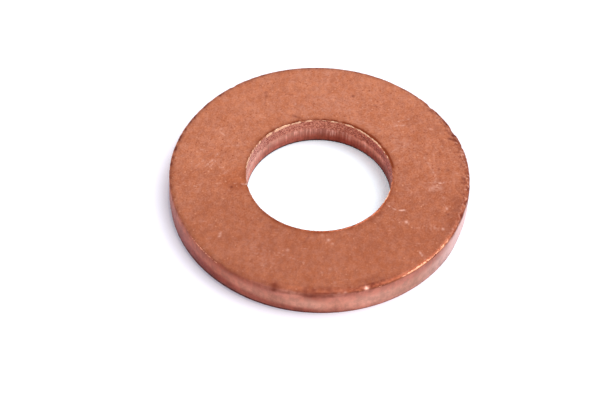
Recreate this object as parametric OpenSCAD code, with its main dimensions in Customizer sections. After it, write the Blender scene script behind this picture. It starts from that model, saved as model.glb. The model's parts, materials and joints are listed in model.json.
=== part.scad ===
// Flat copper seal ring for a drain plug, punched from sheet in one piece.
//
// It is one solid of revolution, and its section is what a punch and die leave.
// The bore was pierced from below and the rim was cut from above. So each wall has
// a rolled edge where the cut began, then a smooth band, then a rough band that
// leans away from the wall. The bore's rough band ends in a thin burr.
//
// The ring lies on its lower face: that face's centre is the origin, and +Z is up
// along the axis of the bore.

/* [Ring] */
// Diameter of the bore, at the smooth band of its wall
bore_d = 10; // [6:0.1:14]
// Diameter of the rim, at its smooth band
outer_d = 20.6; // [18:0.1:30]
// Thickness of the copper sheet
sheet_t = 2.1; // [1.5:0.1:3]

/* [Rolled upper edge of the rim] */
// How far the roll reaches in from the rim
rim_roll_w = 0.4; // [0.3:0.05:0.8]
// How far down the rim it reaches
rim_roll_h = 0.19; // [0.18:0.01:0.28]
// Radius of the tight arc that turns down onto the rim
rim_roll_edge_r = 0.15; // [0.05:0.01:0.17]

/* [Rough band of the rim] */
// Height of the band above the lower face
rim_break_h = 0.5; // [0.2:0.05:0.7]
// How far the band leans in by the lower face
rim_break_lean = 0.03; // [0.02:0.01:0.1]

/* [Rolled lower edge of the bore] */
// How far the roll reaches out from the bore
bore_roll_w = 0.25; // [0.2:0.05:0.5]
// How far up the bore it reaches
bore_roll_h = 0.12; // [0.12:0.01:0.18]
// Radius of the tight arc that turns up into the bore
bore_roll_edge_r = 0.1; // [0.05:0.01:0.11]

/* [Rough band of the bore] */
// Height of the band below the upper face
bore_break_h = 0.8; // [0.3:0.05:0.9]
// How far the band opens by the upper face
bore_break_lean = 0.05; // [0.02:0.01:0.1]
// Height of the burr above the upper face
burr_h = 0.03; // [0.01:0.01:0.05]
// Width of the burr where it leaves the upper face
burr_w = 0.08; // [0.05:0.01:0.12]

/* [Hidden] */

$fn = 180;

bore_r = bore_d / 2;
outer_r = outer_d / 2;
bore_top_r = bore_r + bore_break_lean;

// Radius of a rolled edge's shallow arc, so that it is tangent to the tight arc
function face_arc_r(w, h, edge_r) =
    ((w - edge_r) ^ 2 + h ^ 2 - edge_r ^ 2) / (2 * (h - edge_r));

// Metal inside a rolled edge. The sharp corner that the roll replaces is at the
// origin, the face lies along -X, and the wall runs down along -Y. The shallow arc
// is tangent to the face, the tight arc to the wall, and each arc to the other.
module rolled_edge(w, h, edge_r) {
    face_r = face_arc_r(w, h, edge_r);
    face_centre = [-w, -face_r];
    edge_centre = [-edge_r, -h];
    through_edge = 2 * (edge_centre - face_centre) * face_r / (face_r - edge_r);

    intersection() {
        translate([-w, -h])
            square([w, h]);
        union() {
            intersection() {
                translate(face_centre)
                    circle(face_r);
                polygon([
                    face_centre,
                    face_centre + [0, 2 * face_r],
                    face_centre + through_edge
                ]);
            }
            translate(edge_centre)
                circle(edge_r);
        }
    }
}

// Half section of the ring without its two rolled edges, in radius and height
module section_core() {
    polygon([
        [bore_r + bore_roll_w, 0],
        [outer_r - rim_break_lean, 0],
        [outer_r, rim_break_h],
        [outer_r, sheet_t - rim_roll_h],
        [outer_r - rim_roll_w, sheet_t - rim_roll_h],
        [outer_r - rim_roll_w, sheet_t],
        [bore_top_r + burr_w, sheet_t],
        [bore_top_r, sheet_t + burr_h],
        [bore_r, sheet_t - bore_break_h],
        [bore_r, bore_roll_h],
        [bore_r + bore_roll_w, bore_roll_h]
    ]);
}

// Half section of the ring
module section() {
    section_core();
    translate([outer_r, sheet_t])
        rolled_edge(rim_roll_w, rim_roll_h, rim_roll_edge_r);
    translate([bore_r, 0])
        rotate(180)
            rolled_edge(bore_roll_w, bore_roll_h, bore_roll_edge_r);
}

module seal_ring() {
    color("#c1704f")
        rotate_extrude()
            section();
}

seal_ring();
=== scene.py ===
"""Copper seal ring for a drain plug, as punched from sheet, lying on a white table."""

import json
import math

import bpy
import numpy as np
from mathutils import Matrix, Vector, noise


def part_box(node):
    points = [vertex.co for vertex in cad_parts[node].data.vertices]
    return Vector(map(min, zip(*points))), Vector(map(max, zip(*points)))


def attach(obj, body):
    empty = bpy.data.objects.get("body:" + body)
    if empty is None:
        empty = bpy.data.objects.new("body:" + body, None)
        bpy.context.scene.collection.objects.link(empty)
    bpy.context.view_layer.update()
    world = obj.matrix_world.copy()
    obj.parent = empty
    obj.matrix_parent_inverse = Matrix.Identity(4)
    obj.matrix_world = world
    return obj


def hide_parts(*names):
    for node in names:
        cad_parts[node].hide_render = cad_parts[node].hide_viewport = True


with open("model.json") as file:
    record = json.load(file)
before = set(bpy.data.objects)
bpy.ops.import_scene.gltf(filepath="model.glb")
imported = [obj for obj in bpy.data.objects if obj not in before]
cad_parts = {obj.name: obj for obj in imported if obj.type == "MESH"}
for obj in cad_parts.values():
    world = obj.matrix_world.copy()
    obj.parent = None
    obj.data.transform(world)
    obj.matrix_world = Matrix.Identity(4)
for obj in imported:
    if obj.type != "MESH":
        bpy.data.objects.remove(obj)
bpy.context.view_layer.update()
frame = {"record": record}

MM = 0.001

# Main sizes, in millimetres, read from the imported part
mounts = {m["name"]: m for m in frame["record"]["mounts"]}
OUTER_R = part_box("seal_ring")[1].x / MM
BORE_R = mounts["bore"]["dims"]["r_mm"]
SHEET_T = mounts["upper_face"]["pos_m"][2] / MM

# Rolled edges: reach across the face, height on the wall, radius of the tight arc
RIM_ROLL = (0.4, 0.19, 0.15)
BORE_ROLL = (0.25, 0.12, 0.1)
# Rough bands: height, and how far the band leans away from the smooth wall
RIM_BREAK_H, RIM_BREAK_LEAN = 0.5, 0.03
BORE_BREAK_H, BORE_BREAK_LEAN = 0.8, 0.05
# Burr round the upper edge of the bore
BURR_W, BURR_H = 0.08, 0.03
BORE_TOP_R = BORE_R + BORE_BREAK_LEAN
# Bevel of the rim's lower edge, which is otherwise sharp
LOWER_BEVEL = 0.02

# Divisions of the mesh round the ring, and along each stretch of the section
COLUMNS = 680
ROWS = {
    "lower_face": 7, "lower_corner": 2, "rim_break": 10, "rim_wall": 12, "rim_wall_top": 4,
    "rim_roll": 14, "upper_face": 64, "burr": 6, "bore_break": 13,
    "bore_wall": 9, "bore_roll": 6,
}
# Top part of the rim's wall, which has rows of its own
WALL_TOP_H = 0.14

# The photograph's camera: angle above the table and distance in millimetres, turn about
# its line of sight, focal length and the pixel that the origin falls on
CAMERA_ELEVATION, CAMERA_DISTANCE, CAMERA_ROLL = 49.6, 11.5 * OUTER_R, -2.06
FOCAL_PX = 1708
PHOTO_W, PHOTO_H = 600, 400
ORIGIN_PX = (318.5, 193.75)


# Camera geometry, also used to place marks by the photograph's pixels

def camera_turn():
    """Rotation of the photograph's camera"""
    e = math.radians(CAMERA_ELEVATION)
    back = Vector((0, -math.cos(e), math.sin(e)))
    right = Vector((1, 0, 0))
    look = Matrix((right, back.cross(right), back)).transposed()
    roll = Matrix.Rotation(math.radians(CAMERA_ROLL), 3, "Z")
    to_origin = Vector((ORIGIN_PX[0] - PHOTO_W / 2, PHOTO_H / 2 - ORIGIN_PX[1], -FOCAL_PX))
    aim = Vector((0, 0, -1)).rotation_difference(to_origin).to_matrix()
    return look @ roll.transposed() @ aim.transposed()


def camera_place():
    """Place of the photograph's camera, in millimetres"""
    e = math.radians(CAMERA_ELEVATION)
    return Vector((0, -math.cos(e), math.sin(e))) * CAMERA_DISTANCE


def on_face(pixel):
    """Point of the upper face, in millimetres, that this pixel of the photograph shows"""
    ray = Vector((pixel[0] - PHOTO_W / 2, PHOTO_H / 2 - pixel[1], -FOCAL_PX))
    ray = camera_turn() @ ray
    start = camera_place()
    return start + ray * ((SHEET_T - start.z) / ray.z)


# The section of the ring, in radius and height

def line(start, end, count):
    """count points from start towards end, without end itself"""
    steps = np.linspace(0, 1, count, endpoint=False)[:, None]
    return np.array(start) + steps * (np.array(end) - np.array(start))


def rolled_edge(reach, height, edge_r, count):
    """Points of a rolled edge whose face lies along -X and whose wall runs down along -Y"""
    face_r = ((reach - edge_r) ** 2 + height ** 2 - edge_r ** 2) / (2 * (height - edge_r))
    turn = math.atan2(reach - edge_r, face_r - height)
    length = face_r * turn + edge_r * (math.pi / 2 - turn)
    points = []
    for along in np.linspace(0, length, count, endpoint=False):
        if along < face_r * turn:
            a = along / face_r
            points.append((-reach + face_r * math.sin(a), -face_r + face_r * math.cos(a)))
        else:
            a = turn + (along - face_r * turn) / edge_r
            points.append((-edge_r + edge_r * math.sin(a), -height + edge_r * math.cos(a)))
    return np.array(points)


def section():
    """Rows of the section round from the lower face: their points, and each one's stretch"""
    rim_roll = rolled_edge(*RIM_ROLL, ROWS["rim_roll"])
    bore_roll = rolled_edge(*BORE_ROLL, ROWS["bore_roll"])
    rim_top, bore_foot = SHEET_T - RIM_ROLL[1], BORE_ROLL[1]
    wall_mark = rim_top - WALL_TOP_H
    foot_r = OUTER_R - RIM_BREAK_LEAN
    bevel_r = foot_r - LOWER_BEVEL
    face_in, face_out = BORE_TOP_R + BURR_W, OUTER_R - RIM_ROLL[0]
    stretches = {
        "lower_face": line((BORE_R + BORE_ROLL[0], 0), (bevel_r, 0), ROWS["lower_face"]),
        "lower_corner": line((bevel_r, 0), (foot_r, LOWER_BEVEL), ROWS["lower_corner"]),
        "rim_break": line((foot_r, LOWER_BEVEL), (OUTER_R, RIM_BREAK_H), ROWS["rim_break"]),
        "rim_wall": np.vstack([
            line((OUTER_R, RIM_BREAK_H), (OUTER_R, wall_mark), ROWS["rim_wall"]),
            line((OUTER_R, wall_mark), (OUTER_R, rim_top), ROWS["rim_wall_top"])]),
        # up from the wall to the face, so the points of the rolled edge are reversed
        "rim_roll": rim_roll[::-1] + (OUTER_R, SHEET_T),
        "upper_face": line((face_out, SHEET_T), (face_in, SHEET_T), ROWS["upper_face"])[1:],
        "burr": line((face_in, SHEET_T), (BORE_TOP_R, SHEET_T + BURR_H), ROWS["burr"]),
        "bore_break": line((BORE_TOP_R, SHEET_T + BURR_H), (BORE_R, SHEET_T - BORE_BREAK_H),
                           ROWS["bore_break"]),
        "bore_wall": line((BORE_R, SHEET_T - BORE_BREAK_H), (BORE_R, bore_foot),
                          ROWS["bore_wall"]),
        "bore_roll": (-bore_roll)[::-1] + (BORE_R, 0),
    }
    points = np.vstack(list(stretches.values()))
    names = np.concatenate([[k] * len(v) for k, v in stretches.items()])
    return points, names


# Noise and places round the ring

def lumps(points, size, seed):
    """Smooth noise from -1 to 1 at each point, with lumps of that size in millimetres"""
    shift = Vector((seed * 7.3, seed * 3.1, seed * 5.7))
    return np.array([noise.noise(Vector(p) / size + shift) for p in points])


def smooth(x, low, high):
    """0 below low, 1 above high, and a smooth step between"""
    t = np.clip((x - low) / (high - low), 0, 1)
    return t * t * (3 - 2 * t)


def hump(x, centre, half_width):
    """1 at the centre, falling off over the half width"""
    return np.exp(-(((x - centre) / half_width) ** 2))


# Zones that detail is kept to: how far in from the rim, and out from the bore
RIM_ZONE, BORE_ZONE = 0.7, 0.4


class Surface:
    """The ring's points, by row of the section and column round the ring: their radius r and
    height z in millimetres, and their azimuth a"""

    def __init__(self):
        rows, names = section()
        self.angles = np.arange(COLUMNS) / COLUMNS * 2 * math.pi
        self.r = np.repeat(rows[:, 0][:, None], COLUMNS, axis=1)
        self.z = np.repeat(rows[:, 1][:, None], COLUMNS, axis=1)
        self.a = np.repeat(self.angles[None, :], len(rows), axis=0)
        self.stretch = np.repeat(names[:, None], COLUMNS, axis=1)
        self.at_rim = self.r > OUTER_R - RIM_ZONE
        self.at_bore = self.r < BORE_R + BORE_ZONE
        self.on_wall = self.on("rim_break", "rim_wall", "bore_break", "bore_wall")
        self.unmoved = self.points()
        self.grain = self.lumps(size=0.16, seed=1) + 0.6 * self.lumps(size=0.08, seed=2)

    def points(self):
        """Where the points are, in x, y and z"""
        return np.stack([self.r * np.cos(self.a), self.r * np.sin(self.a), self.z], axis=-1)

    def on(self, *stretches):
        """Where the section is one of these stretches"""
        return np.isin(self.stretch, stretches)

    def lumps(self, size, seed):
        """Noise over the surface, which stays as it was where points have moved"""
        return lumps(self.unmoved.reshape(-1, 3), size, seed).reshape(self.r.shape)

    def around(self, radius, size, seed):
        """Noise that varies round the ring only, with lumps of that length at that radius"""
        x, y = np.cos(self.angles) * radius, np.sin(self.angles) * radius
        return lumps(np.stack([x, y, self.angles * 0], axis=1), size, seed)

    def towards(self, azimuth, half_width):
        """1 at that azimuth in degrees, falling to 0 over the half width on either side"""
        off = (np.degrees(self.angles) - azimuth + 180) % 360 - 180
        return 1 - smooth(np.abs(off), 0, half_width)

    def level(self, base, places):
        """base, and what is added to it round each place"""
        for azimuth, half_width, amount in places:
            base = base + amount * self.towards(azimuth, half_width)
        return base


# Marks on the upper face: strokes by the photograph's pixels at their two ends, half
# width in millimetres and strength, and dots by pixel, radius and strength
# The pale strokes named sheen are painted sheen, and the pale dot at the front edge is a painted
# glint
PALE_SCRATCHES_AND_SHEEN = {
    "right, to the rim": ((419, 183.2), (466, 180.7), 0.035, 0.22),
    "right, its deep part": ((439, 183), (444, 182.8), 0.045, 0.9),
    "right arc 1": ((424, 157), (429, 165), 0.045, 0.35),
    "right arc 2": ((429, 165), (432.5, 171), 0.06, 0.45),
    "right arc 3": ((432.5, 171), (436, 177), 0.05, 0.35),
    "right arc 4": ((436, 177), (434, 187.5), 0.07, 0.22),
    "back right": ((398, 121.5), (409, 119), 0.04, 0.5),
    "back right patch": ((395, 125.8), (404, 125.2), 0.09, 0.35),
    "back right short": ((416.5, 99.2), (419.5, 100.8), 0.04, 0.5),
    "back": ((288, 95.5), (294, 96.2), 0.03, 0.35),
    "left cluster 1": ((205, 166.5), (212, 160.5), 0.04, 0.8),
    "left cluster 2": ((212, 160.5), (219, 152.5), 0.035, 0.5),
    "left cluster 3": ((223.5, 174), (229.5, 169.5), 0.035, 0.4),
    "left cluster 4": ((200.5, 149), (205.5, 150.5), 0.035, 0.4),
    "left outer 1": ((189, 187.7), (201, 184), 0.03, 0.4),
    "left outer 2": ((173, 158.5), (183, 155.8), 0.03, 0.35),
    "left inner": ((222, 190.5), (231.5, 190), 0.035, 0.45),
    "back left streak": ((225, 146.2), (246, 144.6), 0.05, 0.3),
    "front left short": ((219, 236), (221.5, 232.5), 0.07, 0.75),
    "front left long": ((278, 252.8), (304, 262.8), 0.04, 0.3),
    "front right to the edge": ((419.5, 252), (425, 259), 0.06, 0.6),
    "right of the hole 1": ((386.5, 204.4), (393, 208.5), 0.04, 0.5),
    "right of the hole 2": ((393, 208.5), (400, 211), 0.05, 0.5),
    "right of the hole 3": ((400, 210.6), (404, 210), 0.06, 1.0),
    "back smear": ((325, 72), (326, 84), 0.35, 0.14),
    "left cluster 5": ((196, 166), (204, 160), 0.03, 0.45),
    "left cluster 6": ((209, 167.5), (216, 160.5), 0.03, 0.5),
    "back left short": ((219, 131), (225, 135.5), 0.04, 0.5),
    "beside the bore, left": ((242, 184), (247, 184), 0.07, 1.2),
    "right of the bore 1": ((394, 150), (405, 145.5), 0.05, 0.4),
    "right of the bore 2": ((391, 152.5), (399, 146.5), 0.04, 0.4),
    "back sheen 1": ((318, 99), (345, 103), 0.7, 0.1),
    "back sheen 2": ((302, 108), (352, 111), 0.3, 0.14),
    "right smear": ((430, 189), (438, 187.5), 0.3, 0.3),
    "right low smear": ((428, 228), (436, 228), 0.25, 0.18),
    "back right sheen 1": ((396, 138), (406, 148), 0.6, 0.14),
    "back right sheen 2": ((352, 118), (380, 130), 0.3, 0.14),
    "right sheen": ((398, 176), (410, 190), 0.5, 0.1),
    "left front sheen": ((252, 246), (268, 262), 0.9, 0.1),
}
PALE_DOTS = {
    "left": ((221, 129), 0.09, 0.4), "left low": ((187, 231), 0.08, 0.5),
    "back": ((295.5, 104), 0.08, 0.3), "back right": ((430.5, 129), 0.1, 0.45),
    "right 1": ((433.5, 154.6), 0.08, 0.3), "right 2": ((441.4, 146.5), 0.08, 0.3),
    "right 3": ((443.5, 197.5), 0.09, 0.25), "right 4": ((456.9, 173.3), 0.08, 0.3),
    "right 5": ((446.9, 208.7), 0.07, 0.75),
    "right low 1": ((443, 229), 0.09, 0.7), "right low 2": ((453, 229), 0.08, 0.4),
    "right low 3": ((459, 221.5), 0.08, 0.5), "right low 4": ((406.5, 222), 0.1, 0.8),
    "front 1": ((328.5, 240), 0.09, 0.6), "front 2": ((322.4, 235), 0.07, 0.35),
    "front 3": ((332.6, 243.8), 0.08, 0.35), "front 4": ((287.7, 250), 0.1, 0.3),
    "front 5": ((330, 269), 0.12, 0.15), "front 6": ((322, 272.5), 0.07, 0.25),
    "front 7": ((334.8, 282.4), 0.12, 0.15), "front edge": ((366.7, 287.8), 0.15, 1.0),
    "front edge left 1": ((345.5, 292.2), 0.1, 0.45),
    "front edge left 2": ((339, 292.6), 0.09, 0.3),
}
# The dark strokes along the front left fold and at the front right, and the right patch, are
# painted shade as well as stain
DARK_STROKES = {
    "back left stain": ((265.6, 92.5), (266.3, 96), 0.11, 0.5),
    "back left tail": ((266, 96), (264.8, 105), 0.05, 0.3),
    "back scratch": ((286, 94.3), (293, 94.9), 0.04, 0.4),
    "back right streak": ((374, 105.3), (383, 104.8), 0.05, 0.35),
    "front scratch": ((309, 235.5), (304.6, 242), 0.06, 0.5),
    "behind the bore": ((293.5, 115.5), (303, 119.8), 0.12, 0.8),
    "back right patch 1": ((420, 118), (436, 128), 0.9, 0.2),
    "back right patch 2": ((396, 98), (404, 103), 0.5, 0.12),
    "right patch": ((459, 203), (452, 230), 0.5, 0.42),
    "left of the bore": ((231, 189), (240, 186), 0.5, 0.3),
    "right of the bore": ((398, 166), (400, 174), 0.4, 0.16),
    "right back edge 1": ((452, 133.5), (456, 140.5), 0.19, 1.0),
    "right back edge 3": ((449, 138.5), (456, 140.5), 0.12, 0.8),
    "back right edge 1": ((443.5, 124), (447.5, 128), 0.1, 0.6),
    "back right edge 2": ((430.5, 110), (434, 113), 0.12, 0.7),
    "right edge": ((463, 156), (465, 163), 0.12, 0.6),
    "right edge, low 1": ((463.5, 207), (460, 222), 0.18, 0.8),
    "right edge, low 2": ((460, 222), (455, 233), 0.14, 0.7),
    "right edge, low 3": ((438.5, 251.5), (434, 257), 0.16, 0.9),
    "right patch, low": ((440, 237), (459, 227), 0.45, 0.24),
    "front edge, left": ((316, 290.4), (344, 290.6), 0.1, 0.3),
    "beside the bore, right 1": ((389.5, 160), (391, 173), 0.15, 0.9),
    "beside the bore, right 2": ((370, 220), (381, 212), 0.2, 0.6),
    "left front patch": ((262, 220), (276, 229), 0.25, 0.3),
    "back left patch": ((196, 136), (215, 119), 0.9, 0.1),
    "front left fold 1": ((222, 267), (240, 281), 0.12, 0.5),
    "front left fold 2": ((236, 280), (262, 290), 0.2, 0.9),
    "front left fold 3": ((279, 290.0), (303, 292.0), 0.2, 0.6),
    "front right edge": ((371, 284.5), (387, 281.5), 0.3, 0.45),
    "front right patch": ((364, 281.5), (383, 277.5), 0.35, 0.4),
    "right back edge 2": ((459, 147), (462, 153), 0.14, 0.5),
    "left scuff": ((193, 172), (199, 168.5), 0.07, 0.35),
    "front right shade": ((424.5, 251.5), (428, 257), 0.06, 0.5),
}
DARK_DOTS = {
    "back 1": ((353, 96), 0.12, 0.9), "back 2": ((369, 91), 0.09, 0.5),
    "front right edge": ((372, 284), 0.12, 0.7),
    "right 1": ((441.6, 141), 0.16, 0.4), "right 2": ((439, 169), 0.1, 0.7),
    "right 3": ((448, 170), 0.1, 0.6), "right 4": ((427, 154), 0.1, 0.5),
    "right low 1": ((452, 231.7), 0.1, 0.5), "right low 2": ((448.3, 214.4), 0.11, 0.9),
    "left": ((231.4, 186.9), 0.13, 1.0), "front edge": ((346.5, 292.6), 0.14, 0.7),
    "front edge left 1": ((301, 293), 0.2, 0.7), "front edge left 2": ((322, 294.8), 0.16, 0.7),
}


def stroke(xy, start, end, half_width):
    """1 along the line from start to end, falling off over the half width"""
    along = np.array(end) - np.array(start)
    from_start = xy - np.array(start)
    share = np.clip(from_start @ along / (along @ along), 0, 1)
    off = np.linalg.norm(from_start - share[..., None] * along, axis=-1)
    return hump(off, 0, half_width)


def all_marks(xy, strokes, dots, uneven):
    """The strongest of the named marks at each point. The strokes are faint where
    uneven is low, the dots aren't."""
    mask = np.zeros(xy.shape[:-1])
    for start, end, half_width, strength in strokes.values():
        start, end = on_face(start).xy, on_face(end).xy
        mask = np.maximum(mask, strength * stroke(xy, start, end, half_width))
    mask = mask * uneven
    for centre, radius, strength in dots.values():
        off = np.linalg.norm(xy - np.array(on_face(centre).xy), axis=-1)
        mask = np.maximum(mask, strength * hump(off, 0, radius))
    return mask


# The rest of the ring's own detail. Each place is an azimuth and a half width in degrees,
# then an amount, and azimuth 0 is to the right and 90 behind the ring.

# Height of the line between the rim's rough and smooth bands
RIM_LINE_PLACES = ((-138, 60, 0.45), (-40, 60, -0.25))
# How far each line wanders and how soft it is, and how much lower the bore's is at its sides
RIM_LINE_WANDER, RIM_LINE_SOFT = 0.16, 0.25
BORE_LINE_WANDER, BORE_LINE_SOFT, BORE_LINE_SIDES = 0.12, 0.1, 0.22
# How deep the rough bands' grain is
BITE = 0.022
# Where the rim is torn over most of its height, and how deep
TORN_AT, TORN_DEPTH = (-160, 75), 0.03
# How far the rim and the upper edge of the bore are out of round. The bore's is further in
# than the part's, and shifted towards the front.
RIM_OUT_OF_ROUND = ((14, 26, 0.05), (124, 30, 0.035), (-20, 12, -0.05))
BORE_OUT_OF_ROUND = ((40, 45, -0.045), (138, 44, 0.045), (-22, 30, -0.035), (66, 16, 0.035))
BORE_EDGE_INWARD, BORE_EDGE_SHIFT = 0.045, 0.05
# Size of the bore's rolled lower edge against the part's, and how far it reaches in
BORE_ROLL_SHARE, BORE_FOOT_INWARD = 0.5, 0.02

# Where the rim's upper edge is tightest, and by what share
TIGHT_ROLL_AT, TIGHT_ROLL_BY = (-44, 42), 0.35
# Where that edge is dragged down furthest, how far, and how far in from the rim
WIDE_ROLL_AT, WIDE_ROLL_DROP, WIDE_ROLL_REACH = (-106, 44), 0.09, 0.6
# How far it is sunk all round, and how far it wavers about that, in long and short waves
EDGE_SUNK, EDGE_WAVER, EDGE_WAVER_SHORT = 0.01, 0.02, 0.012
# Where the cut leans in furthest towards the upper edge
LEAN_AT, LEAN_DEPTH = (-152, 38), 0.14
# Nicks in the upper edge: azimuth in degrees, width and depth in millimetres
RIM_NICKS = {
    "back_right": (41, 0.35, 0.07), "right": (17, 0.25, 0.04), "right_low": (-12, 0.3, 0.04),
    "front": (-84, 0.3, 0.05), "front_left": (-127, 0.45, 0.05), "back_left": (128, 0.3, 0.04),
    "right_back": (26, 0.6, 0.07),
}
# Depth of the fine chips all along it, and of its grain, and how battered it is
CHIP_DEPTH, EDGE_GRAIN = 0.07, 0.012
BATTERED = (0.4, ((20, 70, 0.2),))
# Where a painted highlight runs in a line along it
EDGE_HIGHLIGHTS = {
    "right front 1": (-46, 8.5, 1.05), "right front 2": (-53, 7, 1.15),
    "right front 3": (-35.5, 8, 0.85), "right": (-23, 2.5, 0.7),
    "front": (-66, 7, 0.6), "left front": (-137, 17, 0.85),
}
# How far down the roll that line is, as a share of its height, and how wide. At the right
# front it is higher and wider.
HIGHLIGHT_DOWN, HIGHLIGHT_WIDTH = 0.62, 0.032
HIGHLIGHT_HIGHER_AT, HIGHLIGHT_HIGHER_BY = (-43, 22), 0.25
HIGHLIGHT_WIDER_AT, HIGHLIGHT_WIDER_BY = (-33, 11), 0.02

# Levels round the bore or the rim: a base, and what is added to it at some places. How wide the
# burr's crest is, how bright the painted highlight along it is, and how broken
CREST_WIDTH = (0.04, ((62, 12, 0.015),))
CREST_HIGHLIGHT = (0.75, (
    (146, 50, 0.5), (50, 36, 1.0), (8, 18, -0.5), (92, 6, -0.9), (170, 18, 0.9)))
CREST_BROKEN = (1.4, ((46, 40, -0.7), (150, 40, 0.5)))
# How strong the brown line outside the burr is, which is painted shade of a groove there, how far
# it is from the bore's edge and how wide. Then the same three values of a fainter painted line
# past it.
GROOVE_DEEP = (0.75, ((90, 90, 0.5), (34, 44, 0.6), (50, 16, 0.4)))
GROOVE_OUT, GROOVE_WIDTH = (0.105, ((38, 55, 0.025),)), (0.06, ((38, 55, 0.03),))
FAINT_GROOVE_STRENGTH, FAINT_GROOVE_OUT, FAINT_GROOVE_WIDTH = 0.45, 0.17, 0.13

# How uneven the tarnish and painted shade at the front of the rim's upper edge are, how strong
# they are on the edge's shoulder, and where the edge is darker at its sides and behind
TARNISH_AND_SHADE_UNEVEN = (0.5, ((-89, 8, 0.4), (-98.5, 5, -0.4), (-105, 4, 0.45), (-115, 6, -0.25)))
SHOULDER_TARNISH_AND_SHADE = ((-87, 13, 1.0), (-48, 26, 0.45))
DARK_EDGE_PLACES = ((22, 46, 1), (160, 46, 1), (90, 80, 0.8), (-18, 26, 0.7), (-158, 28, 0.5))

# Dark pits on the bore's wall: azimuth in degrees, height, size and strength
BORE_PITS = {
    "right": (49, 1.35, 0.12, 1.0), "far right": (28, 1.6, 0.14, 0.9),
    "far right low": (24, 1.1, 0.08, 0.6), "right low": (55, 1.15, 0.07, 0.6),
    "back": (84, 1.5, 0.07, 0.5),
}

# Unevenness of the upper face, and depth of its scratches and spots
FACE_WAVER, MARK_DEPTH = 0.005, 0.008
# How far below the upper face its look gives way to the rim's, and how uneven that is
FACE_LOOK_ENDS, FACE_LOOK_UNEVEN = (0.07, 0.15), 0.025
# Where the face's look reaches further down, and how far
FACE_LOOK_LOWER_AT, FACE_LOOK_LOWER_BY = (-48, 34), 0.05


def roughen_walls(s):
    """Walls: their rough bands, the rim out of round, and its torn part. Returns how rough
    each point is."""
    rim_line = RIM_BREAK_H + RIM_LINE_WANDER * s.around(OUTER_R, size=0.9, seed=3)
    rim_line = s.level(rim_line, RIM_LINE_PLACES)
    bore_line = SHEET_T - BORE_BREAK_H - BORE_LINE_SIDES * np.abs(np.cos(s.angles))
    bore_line = bore_line + BORE_LINE_WANDER * s.around(BORE_R, size=0.5, seed=4)
    above_rim_line = smooth(s.z, rim_line - RIM_LINE_SOFT, rim_line + RIM_LINE_SOFT)
    above_bore_line = smooth(s.z, bore_line - BORE_LINE_SOFT, bore_line + BORE_LINE_SOFT)
    rim_rough = s.at_rim * s.on_wall * (1 - above_rim_line)
    bore_rough = s.at_bore * s.on_wall * above_bore_line
    s.r = s.r + (bore_rough - rim_rough) * BITE * (s.grain + 0.5)
    s.r = s.r + smooth(s.r, OUTER_R - 1, OUTER_R) * s.level(0, RIM_OUT_OF_ROUND)
    torn = s.towards(*TORN_AT) * s.at_rim * s.on_wall
    s.r = s.r + TORN_DEPTH * torn * (s.lumps(size=0.35, seed=15) - 0.3)
    return np.maximum(rim_rough, bore_rough)


def tighten_rim(s):
    """Tighter upper edge at the right front. Returns the painted highlight in a line along it."""
    tight = 1 - TIGHT_ROLL_BY * s.towards(*TIGHT_ROLL_AT)
    rolled = s.on("rim_roll")
    s.r = np.where(rolled, OUTER_R - (OUTER_R - s.r) * tight, s.r)
    s.z = np.where(rolled, SHEET_T - (SHEET_T - s.z) * tight, s.z)
    share = HIGHLIGHT_DOWN - HIGHLIGHT_HIGHER_BY * s.towards(*HIGHLIGHT_HIGHER_AT) ** 0.5
    width = HIGHLIGHT_WIDTH + HIGHLIGHT_WIDER_BY * s.towards(*HIGHLIGHT_WIDER_AT)
    edge_highlight = s.level(0, EDGE_HIGHLIGHTS.values()) * np.clip(0.9 + 0.9 * s.grain, 0, 1.2)
    edge_highlight = edge_highlight * hump(s.z, SHEET_T - share * RIM_ROLL[1] * tight, width)
    return edge_highlight * s.on("rim_roll", "rim_wall")


def drag_rim(s):
    """Upper edge dragged down at the front left and leaning in at the left, and wavering"""
    drop = WIDE_ROLL_DROP * s.towards(*WIDE_ROLL_AT)
    waver = EDGE_WAVER * s.around(OUTER_R, size=1.3, seed=8)
    waver = waver + EDGE_WAVER_SHORT * s.around(OUTER_R, size=0.35, seed=9)
    reach = smooth(s.r, OUTER_R - WIDE_ROLL_REACH, OUTER_R) * smooth(s.z, 0.4, 1.7) * s.at_rim
    s.z = s.z - drop * reach - (waver + EDGE_SUNK) * reach ** 3
    lean = LEAN_DEPTH * s.towards(*LEAN_AT)
    s.r = s.r - lean * smooth(s.z, 0.6, SHEET_T) * smooth(s.r, OUTER_R - 0.8, OUTER_R - 0.1)


def nick_rim(s):
    """Nicks and chips in the upper edge"""
    nick = np.zeros(COLUMNS)
    for azimuth, width, depth in RIM_NICKS.values():
        nick = nick + depth * s.towards(azimuth, math.degrees(width / OUTER_R))
    edge = smooth(s.z, SHEET_T - 0.4, SHEET_T - 0.12) * smooth(s.r, OUTER_R - 0.3, OUTER_R)
    edge = edge * s.at_rim
    chips = CHIP_DEPTH * np.clip(s.around(OUTER_R, size=0.22, seed=13) - 0.1, 0, 1)
    chips = chips * s.level(*BATTERED)
    s.r = s.r - (nick + chips) * edge - EDGE_GRAIN * edge * s.grain
    s.z = s.z - 0.5 * nick * edge


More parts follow.
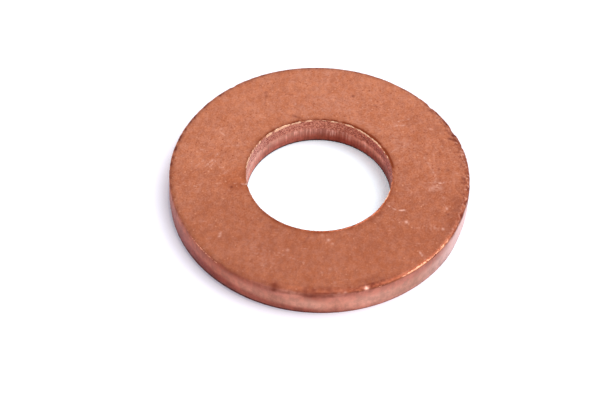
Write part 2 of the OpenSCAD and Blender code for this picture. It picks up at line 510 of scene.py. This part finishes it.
def raise_burr(s):
    """Burr, ragged in height and reach. Returns the painted highlight along its crest, how bright
    it is at each point.
    """
    ragged = 0.7 * s.around(BORE_R, size=0.5, seed=5) + s.around(BORE_R, size=0.2, seed=6)
    width = s.level(*CREST_WIDTH) * np.clip(1 + 0.5 * ragged, 0.6, 1.4)
    crest = hump(s.r, BORE_TOP_R + 0.008, width)
    top = crest * smooth(s.z, SHEET_T - 0.04, SHEET_T)
    s.z = s.z + top * BURR_H * np.clip(0.2 + 1.5 * ragged, -0.8, 1.6)
    s.r = s.r + top * (0.035 * ragged - 0.01)

    # Painted highlight along the crest, brighter at some places and broken up
    bright = s.level(*CREST_HIGHLIGHT) * s.towards(88, 106) ** 0.3
    bright = bright + 0.9 * s.towards(-22, 14)
    glow_down = SHEET_T - 0.085 - 0.15 * s.towards(146, 60)
    crest = crest * smooth(s.z, glow_down, glow_down + 0.07)
    broken = np.clip(0.95 + s.level(*CREST_BROKEN) * ragged, 0.35, 1.6)
    return s.at_bore * crest * bright * broken


def shape_bore(s):
    """Bore: its upper edge is out of round, and its lower edge is tighter than the part's
    and reaches in a little"""
    outward = -BORE_EDGE_INWARD - BORE_EDGE_SHIFT * np.sin(s.angles)
    outward = s.level(outward, BORE_OUT_OF_ROUND)
    near_edge = 1 - smooth(s.r, BORE_TOP_R + 0.05, BORE_TOP_R + 0.6)
    s.r = s.r + outward * smooth(s.z, 1.2, 2.0) * near_edge
    low_roll = s.on("bore_roll")
    s.r = np.where(low_roll, BORE_R + (s.r - BORE_R) * BORE_ROLL_SHARE, s.r)
    s.z = np.where(low_roll, s.z * BORE_ROLL_SHARE, s.z)
    foot = s.at_bore * (1 - smooth(s.z, 0.1, 0.6)) * (s.r < BORE_R + 0.3)
    s.r = s.r - BORE_FOOT_INWARD * foot


def mark_face(s):
    """Upper face: a very slight unevenness, and its scratches and spots. Returns how far each
    point is pale and how far it is dark."""
    s.z = s.z + s.on("upper_face") * FACE_WAVER * s.lumps(size=1.6, seed=7)
    upper = s.on("upper_face", "rim_roll", "burr")
    xy = s.points()[..., :2]
    faint = np.clip(0.55 + 1.5 * s.lumps(size=0.14, seed=21), 0, 1.3)
    blurred = np.clip(0.85 + 0.9 * s.lumps(size=0.22, seed=22), 0.35, 1.3)
    pale = upper * all_marks(xy, PALE_SCRATCHES_AND_SHEEN, PALE_DOTS, faint)
    dark = upper * all_marks(xy, DARK_STROKES, DARK_DOTS, blurred)
    s.z = s.z - MARK_DEPTH * np.maximum(pale, dark)
    return pale, dark


def ring_mesh(s):
    """Mesh of quads that closes round the ring and round its section"""
    row = np.arange(len(s.r))[:, None] * COLUMNS
    next_row = np.roll(row, -1, axis=0)
    column = np.arange(COLUMNS)[None, :]
    next_column = np.roll(column, -1, axis=1)
    faces = np.stack([row + column, row + next_column,
                      next_row + next_column, next_row + column], axis=-1)
    mesh = bpy.data.meshes.new("copper_ring")
    points = s.points().reshape(-1, 3) * MM
    mesh.from_pydata(points.tolist(), [], faces.reshape(-1, 4).tolist())
    mesh.polygons.foreach_set("use_smooth", [True] * len(mesh.polygons))
    return mesh


def wall_share(s):
    """How far each point is wall and not face"""
    below = SHEET_T - s.z + FACE_LOOK_UNEVEN * s.grain
    below = below - FACE_LOOK_LOWER_BY * s.towards(*FACE_LOOK_LOWER_AT)
    rim_wall = s.at_rim * smooth(below, *FACE_LOOK_ENDS)
    bore_wall = s.at_bore * s.on("bore_break", "bore_wall", "bore_roll")
    return np.maximum(rim_wall, bore_wall) * (s.z > 0.01)


def burr_groove_shade(s, burr_r):
    """Painted shade: a brown line outside the burr and a fainter one past it, and darkening of the
    burr's front, at the radius that each point had before the bore was put out of round"""
    from_edge = burr_r - BORE_TOP_R
    groove = 1.3 * hump(from_edge, s.level(*GROOVE_OUT), s.level(*GROOVE_WIDTH))
    faint = FAINT_GROOVE_STRENGTH * hump(from_edge, FAINT_GROOVE_OUT, FAINT_GROOVE_WIDTH)
    groove = np.maximum(groove, faint)
    front_burr_shade = 0.9 * hump(from_edge, 0, 0.07) * s.towards(-60, 45) ** 0.5
    groove = np.maximum(groove, front_burr_shade) * (1 - s.on_wall) * (burr_r < BORE_R + 0.7)
    deep = s.level(*GROOVE_DEEP) * (1 - 0.6 * s.towards(182, 60))
    uneven = np.clip(1 + s.around(BORE_R, size=0.5, seed=11) + 0.5 * s.grain, 0.25, 1.3)
    return groove * (s.z > 1) * deep * uneven


def rim_glints(s):
    """Small bright spots along the rim at the right"""
    glints = np.clip(4 * s.lumps(size=0.15, seed=14) - 0.8, 0, 1) * s.towards(8, 55) ** 0.6
    return glints * smooth(s.r, OUTER_R - 0.5, OUTER_R - 0.2) * s.at_rim


def rim_tarnish_and_shade(s, glints):
    """Tarnish and painted shade along the rim's upper edge"""
    mottled = 0.9 + 0.8 * s.grain
    # Tarnish and painted shade in the fold where the edge is dragged down
    patchy = np.clip(0.75 + 0.9 * s.around(OUTER_R, size=0.7, seed=12), 0, 1)
    fold = hump(SHEET_T - s.z, 0.08, 0.06) * smooth(s.r, OUTER_R - 0.4, OUTER_R - 0.1)
    fold = 0.65 * fold * patchy * s.towards(-108, 34) ** 0.5

    # On the face and the edge's shoulder at the front: tarnish, and painted shade that dims the
    # lamp's highlight on the shoulder
    front_tarnish_and_shade = smooth(s.r, OUTER_R - 0.85, OUTER_R - 0.25) * s.towards(-93, 44) ** 0.5
    clouded = np.clip(0.9 + 0.8 * s.lumps(size=0.4, seed=17), 0.3, 1.3)
    front_tarnish_and_shade = front_tarnish_and_shade * s.level(*TARNISH_AND_SHADE_UNEVEN) * clouded
    shoulder = hump(s.r, OUTER_R - 0.12, 0.12) * smooth(s.z, 1.9, 2.0)
    for azimuth, half_width, strength in SHOULDER_TARNISH_AND_SHADE:
        front_tarnish_and_shade = np.maximum(front_tarnish_and_shade, strength * shoulder * s.towards(azimuth, half_width) ** 0.6)
    front_edge = 0.85 * s.on("rim_roll") * s.towards(-69, 16) ** 0.6
    front_tarnish_and_shade = np.maximum(front_tarnish_and_shade, front_edge * np.clip(mottled, 0.3, 1.2))

    # Darker along the edge at the sides and behind, with specks at the right
    right_edge = s.towards(-18, 26)
    wide = (0.15 + 0.35 * right_edge) * smooth(s.r, OUTER_R - 0.55, OUTER_R - 0.3)
    narrow = (0.7 - 0.25 * right_edge) * smooth(s.r, OUTER_R - 0.33, OUTER_R - 0.13)
    dark_edge = np.clip(0.9 + 1.2 * s.around(OUTER_R, size=0.5, seed=16), 0.2, 1.4) * (wide + narrow)
    dark_edge = dark_edge * s.level(0, DARK_EDGE_PLACES) * np.clip(mottled, 0, 2)
    specks = np.clip(4.5 * s.lumps(size=0.15, seed=18) - 0.3, 0, 1) * s.towards(10, 58) ** 0.6
    specks = specks * smooth(s.r, OUTER_R - 0.85, OUTER_R - 0.3)
    dark_edge = np.maximum(dark_edge, 0.9 * specks) * (1 - glints)

    on_top = (s.r > OUTER_R - 1.2) * smooth(s.z, 1.6, 1.85)
    return on_top * np.maximum(np.maximum(fold, front_tarnish_and_shade), dark_edge)


def bore_pits(s):
    pits = np.zeros(s.r.shape)
    for azimuth, height, size, strength in BORE_PITS.values():
        turn = (s.a - math.radians(azimuth) + math.pi) % (2 * math.pi) - math.pi
        off = np.hypot(turn * BORE_R, s.z - height)
        pits = np.maximum(pits, strength * s.at_bore * hump(off, 0, size))
    return pits


def make_ring():
    s = Surface()
    rough = roughen_walls(s)
    edge_highlight = tighten_rim(s)
    drag_rim(s)
    nick_rim(s)
    crest = raise_burr(s)
    burr_r = s.r
    shape_bore(s)
    pale, dark = mark_face(s)
    mesh = ring_mesh(s)

    # What the material needs to know of each point
    glints = rim_glints(s)
    tarnish_and_shade = rim_tarnish_and_shade(s, glints) * (1 - np.clip(pale, 0, 1))
    glints_on_edge = 0.5 * glints * smooth(s.z, SHEET_T - 0.2, SHEET_T - 0.1)
    layers = {
        "wall": wall_share(s),
        "rough": rough,
        # crest: painted highlights on the burr's crest and along the rim's upper edge
        "crest": np.maximum(crest, edge_highlight),
        # stains, and painted shade in the groove, the folds and along the rim's upper edge
        "stain": np.max([burr_groove_shade(s, burr_r), tarnish_and_shade, dark, bore_pits(s)], axis=0),
        # pale scratches and dots, with painted sheen and painted glints
        "pale": np.maximum(pale, glints_on_edge),
        "inside": s.at_bore,
    }
    for name, value in layers.items():
        layer = mesh.attributes.new(name, "FLOAT", "POINT")
        layer.data.foreach_set("value", value.reshape(-1).astype(np.float32))
    mesh.update()
    ring = bpy.data.objects.new("copper_ring", mesh)
    bpy.context.scene.collection.objects.link(ring)
    return ring


# Materials

def new_material(name):
    material = bpy.data.materials.new(name)
    material.use_nodes = True
    material.node_tree.nodes.clear()
    return material


class Nodes:
    """Short ways to add nodes to a tree. Lengths are in millimetres."""

    def __init__(self, tree):
        self.tree = tree

    def add(self, kind, inputs=(), **settings):
        made = self.tree.nodes.new(kind)
        for key, value in settings.items():
            setattr(made, key, value)
        for key, value in dict(inputs).items():
            if isinstance(value, bpy.types.NodeSocket):
                self.tree.links.new(value, made.inputs[key])
            else:
                made.inputs[key].default_value = value
        return made

    def noise(self, vector, size, detail=2, roughness=0.5):
        return self.add("ShaderNodeTexNoise", {
            "Vector": vector, "Scale": 1 / size, "Detail": detail,
            "Roughness": roughness}).outputs["Fac"]

    def math(self, operation, a, b):
        return self.add("ShaderNodeMath", {0: a, 1: b}, operation=operation).outputs[0]

    def times(self, first, *others):
        """Product of them all"""
        for other in others:
            first = self.math("MULTIPLY", first, other)
        return first

    def most(self, first, *others):
        """The highest of them"""
        for other in others:
            first = self.math("MAXIMUM", first, other)
        return first

    def vector(self, operation, *inputs):
        return self.add("ShaderNodeVectorMath", enumerate(inputs), operation=operation)

    def stretched(self, vector, scale, turn=0.0):
        """The same place, turned about Z in degrees and scaled, so that noise there comes
        out stretched"""
        return self.add("ShaderNodeMapping", {
            "Vector": vector, "Rotation": (0, 0, math.radians(turn)), "Scale": scale}).outputs[0]

    def ramp(self, value, low, high, to_low=0.0, to_high=1.0):
        """to_low at low and below, to_high at high and beyond, and a smooth step between"""
        return self.add("ShaderNodeMapRange", {
            "Value": value, "From Min": low, "From Max": high,
            "To Min": to_low, "To Max": to_high}, interpolation_type="SMOOTHSTEP").outputs[0]

    def mix(self, factor, a, b):
        """Colour a where factor is 0, b where it is 1"""
        made = self.tree.nodes.new("ShaderNodeMix")
        made.data_type = "RGBA"
        for index, value in ((0, factor), (6, a), (7, b)):
            if isinstance(value, bpy.types.NodeSocket):
                self.tree.links.new(value, made.inputs[index])
            elif index == 0:
                made.inputs[index].default_value = value
            else:
                made.inputs[index].default_value = (*value, 1)
        return made.outputs[2]

    def scaled(self, vector, by):
        made = self.add("ShaderNodeVectorMath", {0: vector, "Scale": by}, operation="SCALE")
        return made.outputs[0]

    def tinted(self, colour, tint):
        return self.vector("MULTIPLY", colour, tint).outputs[0]

    def blend(self, value, stops):
        """The colour at value, 0 to 1 across the ring, between those given at some places"""
        made = self.add("ShaderNodeValToRGB", {0: value})
        stretch = made.color_ramp.elements
        for index, (place, colour) in enumerate(stops):
            at = (place + OUTER_R) / (2 * OUTER_R)
            element = stretch[index] if index < 2 else stretch.new(at)
            element.position = at
            element.color = (*colour, 1)
        return made.outputs["Color"]

    def specks(self, vector, spacing, radius, share):
        """Round dots of uneven strength, that far apart on average"""
        made = self.add("ShaderNodeTexVoronoi", {"Vector": vector, "Scale": 1 / spacing})
        chance = self.add("ShaderNodeSeparateColor", {0: made.outputs["Color"]}).outputs[0]
        reach = radius / spacing
        return self.times(self.ramp(made.outputs["Distance"], reach, 0.3 * reach),
                          self.ramp(chance, 1 - share, 1.0))

    def attribute(self, name):
        return self.add("ShaderNodeAttribute", attribute_name=name).outputs["Fac"]


# Colours are linear. The face's, where it is clean and where it is tarnished and in painted shade
FACE_LIGHT = (0.65, 0.250, 0.148)
FACE_DARK = (0.558, 0.188, 0.0995)
TARNISH_AND_SHADE_LIGHT = (0.50, 0.173, 0.0985)
TARNISH_AND_SHADE_DARK = (0.42, 0.128, 0.0665)
# Marks on the face; the pale one also colours painted sheen and glints
SPECK_DARK = (0.33, 0.073, 0.033)
DUST_PEACH = (0.98, 0.48, 0.32)
SCRATCH_AND_SHEEN_PALE = (0.97, 0.57, 0.47)
# Stains and painted shade of the face and rim, and the brown of the painted shade outside the burr
STAIN_AND_SHADE = (0.20, 0.042, 0.026)
GROOVE_BROWN = (0.25, 0.046, 0.016)
# Painted highlights: on the burr's crest, and along the rim's upper edge
CREST_HIGHLIGHT_GOLD = (1.0, 0.62, 0.42)
EDGE_HIGHLIGHT_PEACH = (0.97, 0.44, 0.28)
# What the face's larger mottling multiplies its colour by
RED_TINT, PALE_TINT = (0.93, 0.89, 0.855), (1.07, 1.112, 1.15)
WARM_TINT, COOL_TINT = (1.03, 1.0, 0.94), (0.97, 1.0, 1.06)
# Browner patch at the left of the bore
WARM_PATCH_AT, WARM_PATCH_REACH = (-5.4, -0.8, SHEET_T), (1.9, 0.5)
WARM_PATCH_TINT = (0.95, 0.82, 0.70)
# Rim across the ring, from its left to its right: position in millimetres and colour, on the upper
# part of its smooth band, on the lower part, and on its rough band. They were typed in, and
# corrected by how red, green and blue in the photograph and the render compared at places along
# the walls.
# Across the ring these colours are partly the rim's own tarnish and partly painted light: painted
# shade at its left and painted reflection of the lit table towards its right
RIM_UP = (
    (-9.8, (0.52, 0.165, 0.110)), (-6.5, (0.345, 0.094, 0.059)), (-4.8, (0.38, 0.110, 0.073)),
    (-2.8, (0.50, 0.180, 0.135)), (-1.4, (0.62, 0.260, 0.190)), (0.0, (0.40, 0.123, 0.082)),
    (1.4, (0.62, 0.245, 0.182)), (5.0, (0.58, 0.225, 0.167)), (7.7, (0.49, 0.190, 0.148)),
    (8.8, (0.58, 0.270, 0.225)), (9.8, (0.62, 0.300, 0.250)),
)
RIM_LOW = (
    (-9.8, (0.37, 0.128, 0.118)), (-6.5, (0.47, 0.150, 0.100)), (-4.4, (0.58, 0.240, 0.175)),
    (-2.8, (0.50, 0.210, 0.150)), (-0.2, (0.69, 0.345, 0.262)), (1.4, (0.59, 0.260, 0.186)),
    (3.5, (0.71, 0.365, 0.285)), (6.6, (0.55, 0.282, 0.215)), (8.6, (0.66, 0.410, 0.370)),
    (9.6, (0.68, 0.420, 0.380)),
)
RIM_BREAK = (
    (-9.8, (0.38, 0.110, 0.105)), (-6.5, (0.31, 0.062, 0.044)), (-5.0, (0.42, 0.120, 0.085)),
    (-0.5, (0.37, 0.106, 0.074)), (3.0, (0.60, 0.250, 0.185)), (6.0, (0.68, 0.340, 0.270)),
    (8.6, (0.64, 0.370, 0.330)), (9.7, (0.64, 0.360, 0.320)),
)
# Bore in the same way, on the upper and the lower part of its smooth band, then what its rough
# band's colours are multiplied by. Their changes across the bore are painted light and shade, and
# the smooth band's lower part is darker as painted shade.
BORE_UP = (
    (-4.8, (0.84, 0.53, 0.45)), (-3.9, (0.78, 0.41, 0.315)), (-2.2, (0.64, 0.29, 0.210)),
    (0.0, (0.50, 0.185, 0.138)), (1.6, (0.42, 0.128, 0.081)), (3.0, (0.70, 0.28, 0.200)),
    (4.2, (0.80, 0.31, 0.215)), (4.8, (0.52, 0.175, 0.145)),
)
BORE_LOW = (
    (-4.8, (0.74, 0.32, 0.25)), (-3.9, (0.50, 0.17, 0.125)), (-2.2, (0.46, 0.140, 0.100)),
    (0.0, (0.335, 0.080, 0.049)), (1.6, (0.32, 0.062, 0.038)), (2.8, (0.40, 0.092, 0.062)),
    (4.2, (0.38, 0.090, 0.060)), (4.8, (0.29, 0.065, 0.050)),
)
BORE_SIDE_LIGHT_AND_SHADE = (
    (-4.8, (1.42, 1.80, 1.95)), (-3.2, (1.15, 1.20, 1.18)), (-0.8, (1.20, 1.25, 1.17)),
    (0.6, (1.10, 1.07, 0.95)), (1.8, (1.02, 0.92, 0.82)), (3.0, (0.96, 0.76, 0.65)),
    (4.2, (1.05, 0.78, 0.76)),
)
# Streaks of the bore's smooth band, then the grains and pits of its rough band
BORE_STREAK = (0.88, 0.50, 0.41)
BORE_BREAK_LIGHT, BORE_BREAK_DARK = (0.66, 0.285, 0.212), (0.32, 0.080, 0.056)
BREAK_PIT = (0.16, 0.036, 0.036)
# Painted reflection of the white table on the rim at its right, at a grazing angle
RIM_PAINTED_REFLECTION = (0.88, 0.66, 0.66)
# Lowest edge of each wall, in the dark between it and the table
RIM_FOOT, BORE_FOOT = (0.13, 0.034, 0.042), (0.10, 0.026, 0.027)
# Plain colours of the walls that the photograph doesn't see
RIM_PLAIN, RIM_PLAIN_BREAK = (0.55, 0.215, 0.155), (0.42, 0.135, 0.100)
BORE_PLAIN = (0.50, 0.180, 0.130)


# Heights of the face's grain, in millimetres, and its roughness from dark to light grains
GRAIN_H, FINE_H = 0.005, 0.002
GRAIN_ROUGHNESS = (0.54, 0.44)
# How much rougher full stain and painted shade are
STAIN_AND_SHADE_ROUGHNESS = 0.12


class Patterns:
    """Patterns over the copper that its colours share"""

    def __init__(self, n):
        self.place = n.scaled(n.add("ShaderNodeTexCoord").outputs["Object"], 1 / MM)
        self.axes = n.add("ShaderNodeSeparateXYZ", {0: self.place}).outputs
        x, y = self.axes[0], self.axes[1]
        self.across = n.math("DIVIDE", n.math("ADD", x, OUTER_R), 2 * OUTER_R)
        self.rough = n.attribute("rough")

        # Satin grain, softer towards the front and the back, and large blotches
        self.grain = n.noise(self.place, 0.15, detail=3, roughness=0.7)
        self.fine = n.noise(self.place, 0.09, detail=1)
        self.blotch = n.noise(self.place, 2.2, detail=3, roughness=0.6)
        self.sharp = n.times(n.ramp(y, -7.5, -1.0, 0.45, 1.0), n.ramp(y, 2.0, 8.0, 1.0, 0.7))
        tone = n.math("ADD", n.times(self.grain, 0.65), n.times(self.fine, 0.35))
        tone = n.times(n.math("SUBTRACT", tone, 0.5), self.sharp, n.ramp(x, -2.0, 6.0, 0.75, 0.95))
        self.tone = n.math("ADD", n.math("ADD", tone, n.times(self.blotch, 0.2)), 0.4)

        # Streaks down the walls, and clouds over them
        self.streak = n.noise(n.stretched(self.place, (1, 1, 0.06)), 0.14, roughness=0.7)
        self.cloud = n.noise(n.stretched(self.place, (1, 1, 0.8)), 0.6, detail=4, roughness=0.7)


def face_colour(n, p):
    """Face: clean and tarnished copper, the tarnish partly painted shade towards the front,
    mottled, with dark specks, dust and scratches, and painted sheen and glints
    """
    x, y = p.axes[0], p.axes[1]
    light = n.ramp(p.tone, 0.41, 0.59)
    clean = n.mix(light, FACE_DARK, FACE_LIGHT)
    tarnished_and_shaded = n.mix(light, TARNISH_AND_SHADE_DARK, TARNISH_AND_SHADE_LIGHT)
    # There is more tarnish and painted shade towards the front, and less towards the left
    drift = n.math("ADD", y, n.times(n.math("SUBTRACT", p.blotch, 0.5), 8.0))
    drift = n.math("ADD", drift, n.ramp(x, 1.0, -9.0, 0.0, 4.8))
    face = n.mix(n.ramp(drift, -6.0, 10.0), tarnished_and_shaded, clean)

    mottle = n.noise(n.stretched(p.place, (1.2, 0.85, 1), 12), 0.5, detail=4, roughness=0.7)
    face = n.tinted(face, n.mix(n.ramp(mottle, 0.38, 0.62), RED_TINT, PALE_TINT))
    hue = n.noise(n.stretched(p.place, (1.15, 0.85, 1), -20), 0.4, detail=3, roughness=0.8)
    face = n.tinted(face, n.mix(n.ramp(hue, 0.38, 0.62), WARM_TINT, COOL_TINT))
    from_patch = n.vector("DISTANCE", p.place, WARM_PATCH_AT).outputs["Value"]
    in_patch = n.ramp(from_patch, *WARM_PATCH_REACH)
    face = n.tinted(face, n.mix(in_patch, (1, 1, 1), WARM_PATCH_TINT))

    speck = n.ramp(n.noise(p.place, 0.22, detail=3, roughness=0.6), 0.64, 0.74)
    speck = n.times(speck, n.ramp(n.math("ADD", x, y), -8.0, 6.0, 0.2, 0.85))
    face = n.mix(speck, face, SPECK_DARK)
    dots = n.specks(p.place, spacing=0.26, radius=0.085, share=0.7)
    face = n.mix(n.times(dots, p.sharp, 0.75), face, SPECK_DARK)
    dust_place = n.stretched(p.place, (1.05, 0.95, 1), 40)
    dust = n.specks(dust_place, spacing=0.30, radius=0.08, share=0.6)
    face = n.mix(n.times(dust, p.sharp, 0.5), face, DUST_PEACH)
    hair = n.most(
        n.ramp(n.noise(n.stretched(p.place, (0.05, 1, 1), 35), 0.08, detail=1), 0.72, 0.8),
        n.ramp(n.noise(n.stretched(p.place, (0.05, 1, 1), -70), 0.09, detail=1), 0.72, 0.8))
    face = n.mix(n.times(hair, n.ramp(mottle, 0.45, 0.6, 0.0, 0.4)), face, SCRATCH_AND_SHEEN_PALE)
    # Pale scratches and dots, painted sheen and painted glints
    return n.mix(n.attribute("pale"), face, SCRATCH_AND_SHEEN_PALE)


def rim_colour(n, p):
    """Rim: darker towards its upper edge, darker at its left partly as painted shade, paler at its
    right as painted reflection, with faint streaks
    """
    x, y, z = p.axes[0], p.axes[1], p.axes[2]
    height = n.math("ADD", z, n.ramp(x, -1.0, -6.0, 0.0, -0.25))
    height = n.math("ADD", height, n.times(n.math("SUBTRACT", p.cloud, 0.5), 0.8))
    # Colours across the ring: tarnish, with painted shade at the left and painted reflection at
    # the right
    wall = n.mix(n.ramp(height, 1.7, 1.0), n.blend(p.across, RIM_UP), n.blend(p.across, RIM_LOW))
    unseen = n.ramp(y, -1.3, 1.5)
    wall = n.mix(unseen, wall, RIM_PLAIN)
    rough_band = n.mix(unseen, n.blend(p.across, RIM_BREAK), RIM_PLAIN_BREAK)
    tone = n.math("ADD", n.times(p.streak, 0.12), n.times(p.cloud, 0.88))
    rim = n.scaled(n.mix(p.rough, wall, rough_band), n.ramp(tone, 0.36, 0.64, 0.84, 1.16))

    # Painted reflection of the white table where the rim's right is seen at a grazing angle
    facing_away = n.add("ShaderNodeLayerWeight", {"Blend": 0.5}).outputs["Facing"]
    sheen = n.times(n.ramp(facing_away, 0.5, 0.8), n.ramp(x, 7.8, 10.0, 0.0, 0.9))
    rim = n.mix(sheen, rim, RIM_PAINTED_REFLECTION)
    foot = n.ramp(n.math("ADD", z, n.ramp(x, -7.0, -1.0, -0.05, 0.0)), 0.22, 0.06)
    return n.mix(n.times(foot, n.ramp(x, -4.0, 5.0, 1.0, 0.3)), rim, RIM_FOOT)


def bore_colour(n, p):
    """Bore: streaks down the smooth band, dark and light grains and pits in the rough band, and
    painted light and shade across it and towards the bottom
    """
    y, z = p.axes[1], p.axes[2]
    streaks = n.times(n.ramp(p.streak, 0.5, 0.64), n.ramp(p.cloud, 0.4, 0.6, 0.3, 1.0))
    wall = n.mix(n.times(streaks, 0.75), n.blend(p.across, BORE_UP), BORE_STREAK)
    # Smooth band darker towards the bottom: painted shade
    wall = n.mix(n.ramp(z, 0.35, 1.15), n.blend(p.across, BORE_LOW), wall)
    wall = n.scaled(wall, n.ramp(p.streak, 0.3, 0.6, 0.85, 1.1))
    wall = n.scaled(wall, n.ramp(n.noise(p.place, 0.3, detail=3), 0.38, 0.62, 0.9, 1.1))

    speckle = n.noise(n.stretched(p.place, (1, 1, 1.3)), 0.15, detail=3, roughness=0.85)
    grains = n.mix(n.ramp(speckle, 0.43, 0.57), BORE_BREAK_DARK, BORE_BREAK_LIGHT)
    pit = n.ramp(n.noise(p.place, 0.16, roughness=0.8), 0.56, 0.65)
    grains = n.mix(n.times(pit, 0.65), grains, BREAK_PIT)

    unseen = n.ramp(y, -0.3, -1.8)
    wall = n.mix(unseen, wall, BORE_PLAIN)
    # Rough band lit and shaded by the painted light and shade across the bore
    rough_band = n.mix(unseen, n.tinted(grains, n.blend(p.across, BORE_SIDE_LIGHT_AND_SHADE)), grains)
    bore = n.mix(p.rough, wall, rough_band)
    return n.mix(n.ramp(z, 0.2, 0.07), bore, BORE_FOOT)


def copper():
    material = new_material("copper")
    n = Nodes(material.node_tree)
    p = Patterns(n)
    inside, stain = n.attribute("inside"), n.attribute("stain")
    walls = n.mix(inside, rim_colour(n, p), bore_colour(n, p))
    colour = n.mix(n.attribute("wall"), face_colour(n, p), walls)
    # Stains and painted shade
    colour = n.mix(n.times(stain, 0.85), colour, n.mix(inside, STAIN_AND_SHADE, GROOVE_BROWN))
    broken = n.times(n.math("SUBTRACT", p.fine, 0.5), 0.6)
    # Painted highlights along the burr's crest and the rim's upper edge
    bright = n.ramp(n.math("ADD", n.attribute("crest"), broken), 0.35, 0.65)
    colour = n.mix(bright, colour, n.mix(inside, EDGE_HIGHLIGHT_PEACH, CREST_HIGHLIGHT_GOLD))

    height = n.math("ADD", n.times(p.grain, GRAIN_H), n.times(p.fine, FINE_H))
    bump = n.add("ShaderNodeBump", {"Height": height, "Strength": 1.0, "Distance": MM})
    # Stains and painted shade make the upper face and the rim rougher, but not the bore
    stained = n.times(stain, n.math("SUBTRACT", 1.0, inside), STAIN_AND_SHADE_ROUGHNESS)
    roughness = n.math("ADD", n.ramp(p.tone, 0.3, 0.7, *GRAIN_ROUGHNESS), stained)
    surface = n.add("ShaderNodeBsdfPrincipled", {
        "Base Color": colour, "Metallic": 1.0, "Roughness": roughness,
        "Normal": bump.outputs[0]})
    n.add("ShaderNodeOutputMaterial", {"Surface": surface.outputs[0]})
    return material


# The table is overexposed in the photograph, so it is brighter than white to the camera. It has
# tinted painted light in the hole, which lightens the shade there, and a narrow painted contact
# shadow at the ring's left
TABLE_BOUNCE = (0.90, 0.88, 0.91)
TABLE_SEEN = (1.05, 1.06, 1.17)
TABLE_HOLE_PAINTED_LIGHT = (1.14, 1.27, 1.37)
TABLE_PAINTED_CONTACT_SHADOW = (0.35, 0.32, 0.45)
CONTACT_WIDTH, CONTACT_STRENGTH = 0.25, 0.35
# A radius in millimetres that is under the ring all round
UNDER_RING_R = 7
# Half the table's side in metres, and how far below the ring it is, in millimetres
TABLE_HALF, TABLE_GAP = 1.5, 0.002


def table_material():
    material = new_material("white_table")
    n = Nodes(material.node_tree)
    place = n.add("ShaderNodeTexCoord").outputs["Object"]
    from_centre = n.vector("LENGTH", place).outputs["Value"]
    x = n.add("ShaderNodeSeparateXYZ", {0: place}).outputs[0]
    # Painted contact shadow at the ring's left
    contact = n.ramp(from_centre, (OUTER_R + CONTACT_WIDTH) * MM, OUTER_R * MM)
    contact = n.times(contact, n.ramp(x, 2 * MM, -5 * MM, 0.0, CONTACT_STRENGTH))
    outside = n.mix(contact, TABLE_SEEN, TABLE_PAINTED_CONTACT_SHADOW)
    # Painted light in the hole, which lightens the shade there
    in_hole = n.math("LESS_THAN", from_centre, UNDER_RING_R * MM)
    seen = n.add("ShaderNodeLightPath").outputs["Is Camera Ray"]
    tint = n.mix(seen, TABLE_BOUNCE, n.mix(in_hole, outside, TABLE_HOLE_PAINTED_LIGHT))
    white = n.add("ShaderNodeBsdfDiffuse", {"Color": tint})
    n.add("ShaderNodeOutputMaterial", {"Surface": white.outputs[0]})
    return material


# Stage, lamps and camera

def make_table():
    half = TABLE_HALF
    mesh = bpy.data.meshes.new("table")
    corners = [(-half, -half, 0), (half, -half, 0), (half, half, 0), (-half, half, 0)]
    mesh.from_pydata(corners, [], [(0, 1, 2, 3)])
    mesh.materials.append(table_material())
    table = bpy.data.objects.new("table", mesh)
    table.location.z = -TABLE_GAP * MM
    bpy.context.scene.collection.objects.link(table)


def soft_lamp(name, azimuth, elevation, distance, size, power):
    """Square lamp aimed at the ring. Azimuth 0 is to the right, 90 is behind the ring."""
    light = bpy.data.lights.new(name, "AREA")
    light.size = size
    light.energy = power
    lamp = bpy.data.objects.new(name, light)
    a, e = math.radians(azimuth), math.radians(elevation)
    away = Vector((math.cos(e) * math.cos(a), math.cos(e) * math.sin(a), math.sin(e)))
    lamp.location = away * distance
    lamp.rotation_euler = away.to_track_quat("Z", "Y").to_euler()
    bpy.context.scene.collection.objects.link(lamp)


def make_world(strength):
    """White room: this strong for the ring's light, and plain white to the camera"""
    world = bpy.data.worlds.new("white_room")
    world.use_nodes = True
    world.node_tree.nodes.clear()
    n = Nodes(world.node_tree)
    seen = n.add("ShaderNodeLightPath").outputs["Is Camera Ray"]
    level = n.ramp(seen, 0, 1, strength, 1.0)
    back = n.add("ShaderNodeBackground", {"Color": (1, 1, 1, 1), "Strength": level})
    n.add("ShaderNodeOutputWorld", {"Surface": back.outputs[0]})
    bpy.context.scene.world = world


def make_camera():
    """Camera at the photograph's viewing angle"""
    data = bpy.data.cameras.new("photo_camera")
    data.sensor_width = 36
    data.lens = FOCAL_PX / PHOTO_W * data.sensor_width
    data.clip_start, data.clip_end = 0.005, 10
    camera = bpy.data.objects.new("photo_camera", data)
    place = Matrix.Translation(camera_place() * MM)
    camera.matrix_world = place @ camera_turn().to_4x4()
    bpy.context.scene.collection.objects.link(camera)
    bpy.context.scene.camera = camera


ring = make_ring()
ring.data.materials.append(copper())
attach(ring, "root")
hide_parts("seal_ring")

make_table()
make_world(strength=0.85)
soft_lamp("key_right", azimuth=5, elevation=64, distance=0.5, size=0.3, power=1.25)
make_camera()
bpy.context.scene.view_settings.view_transform = "Standard"
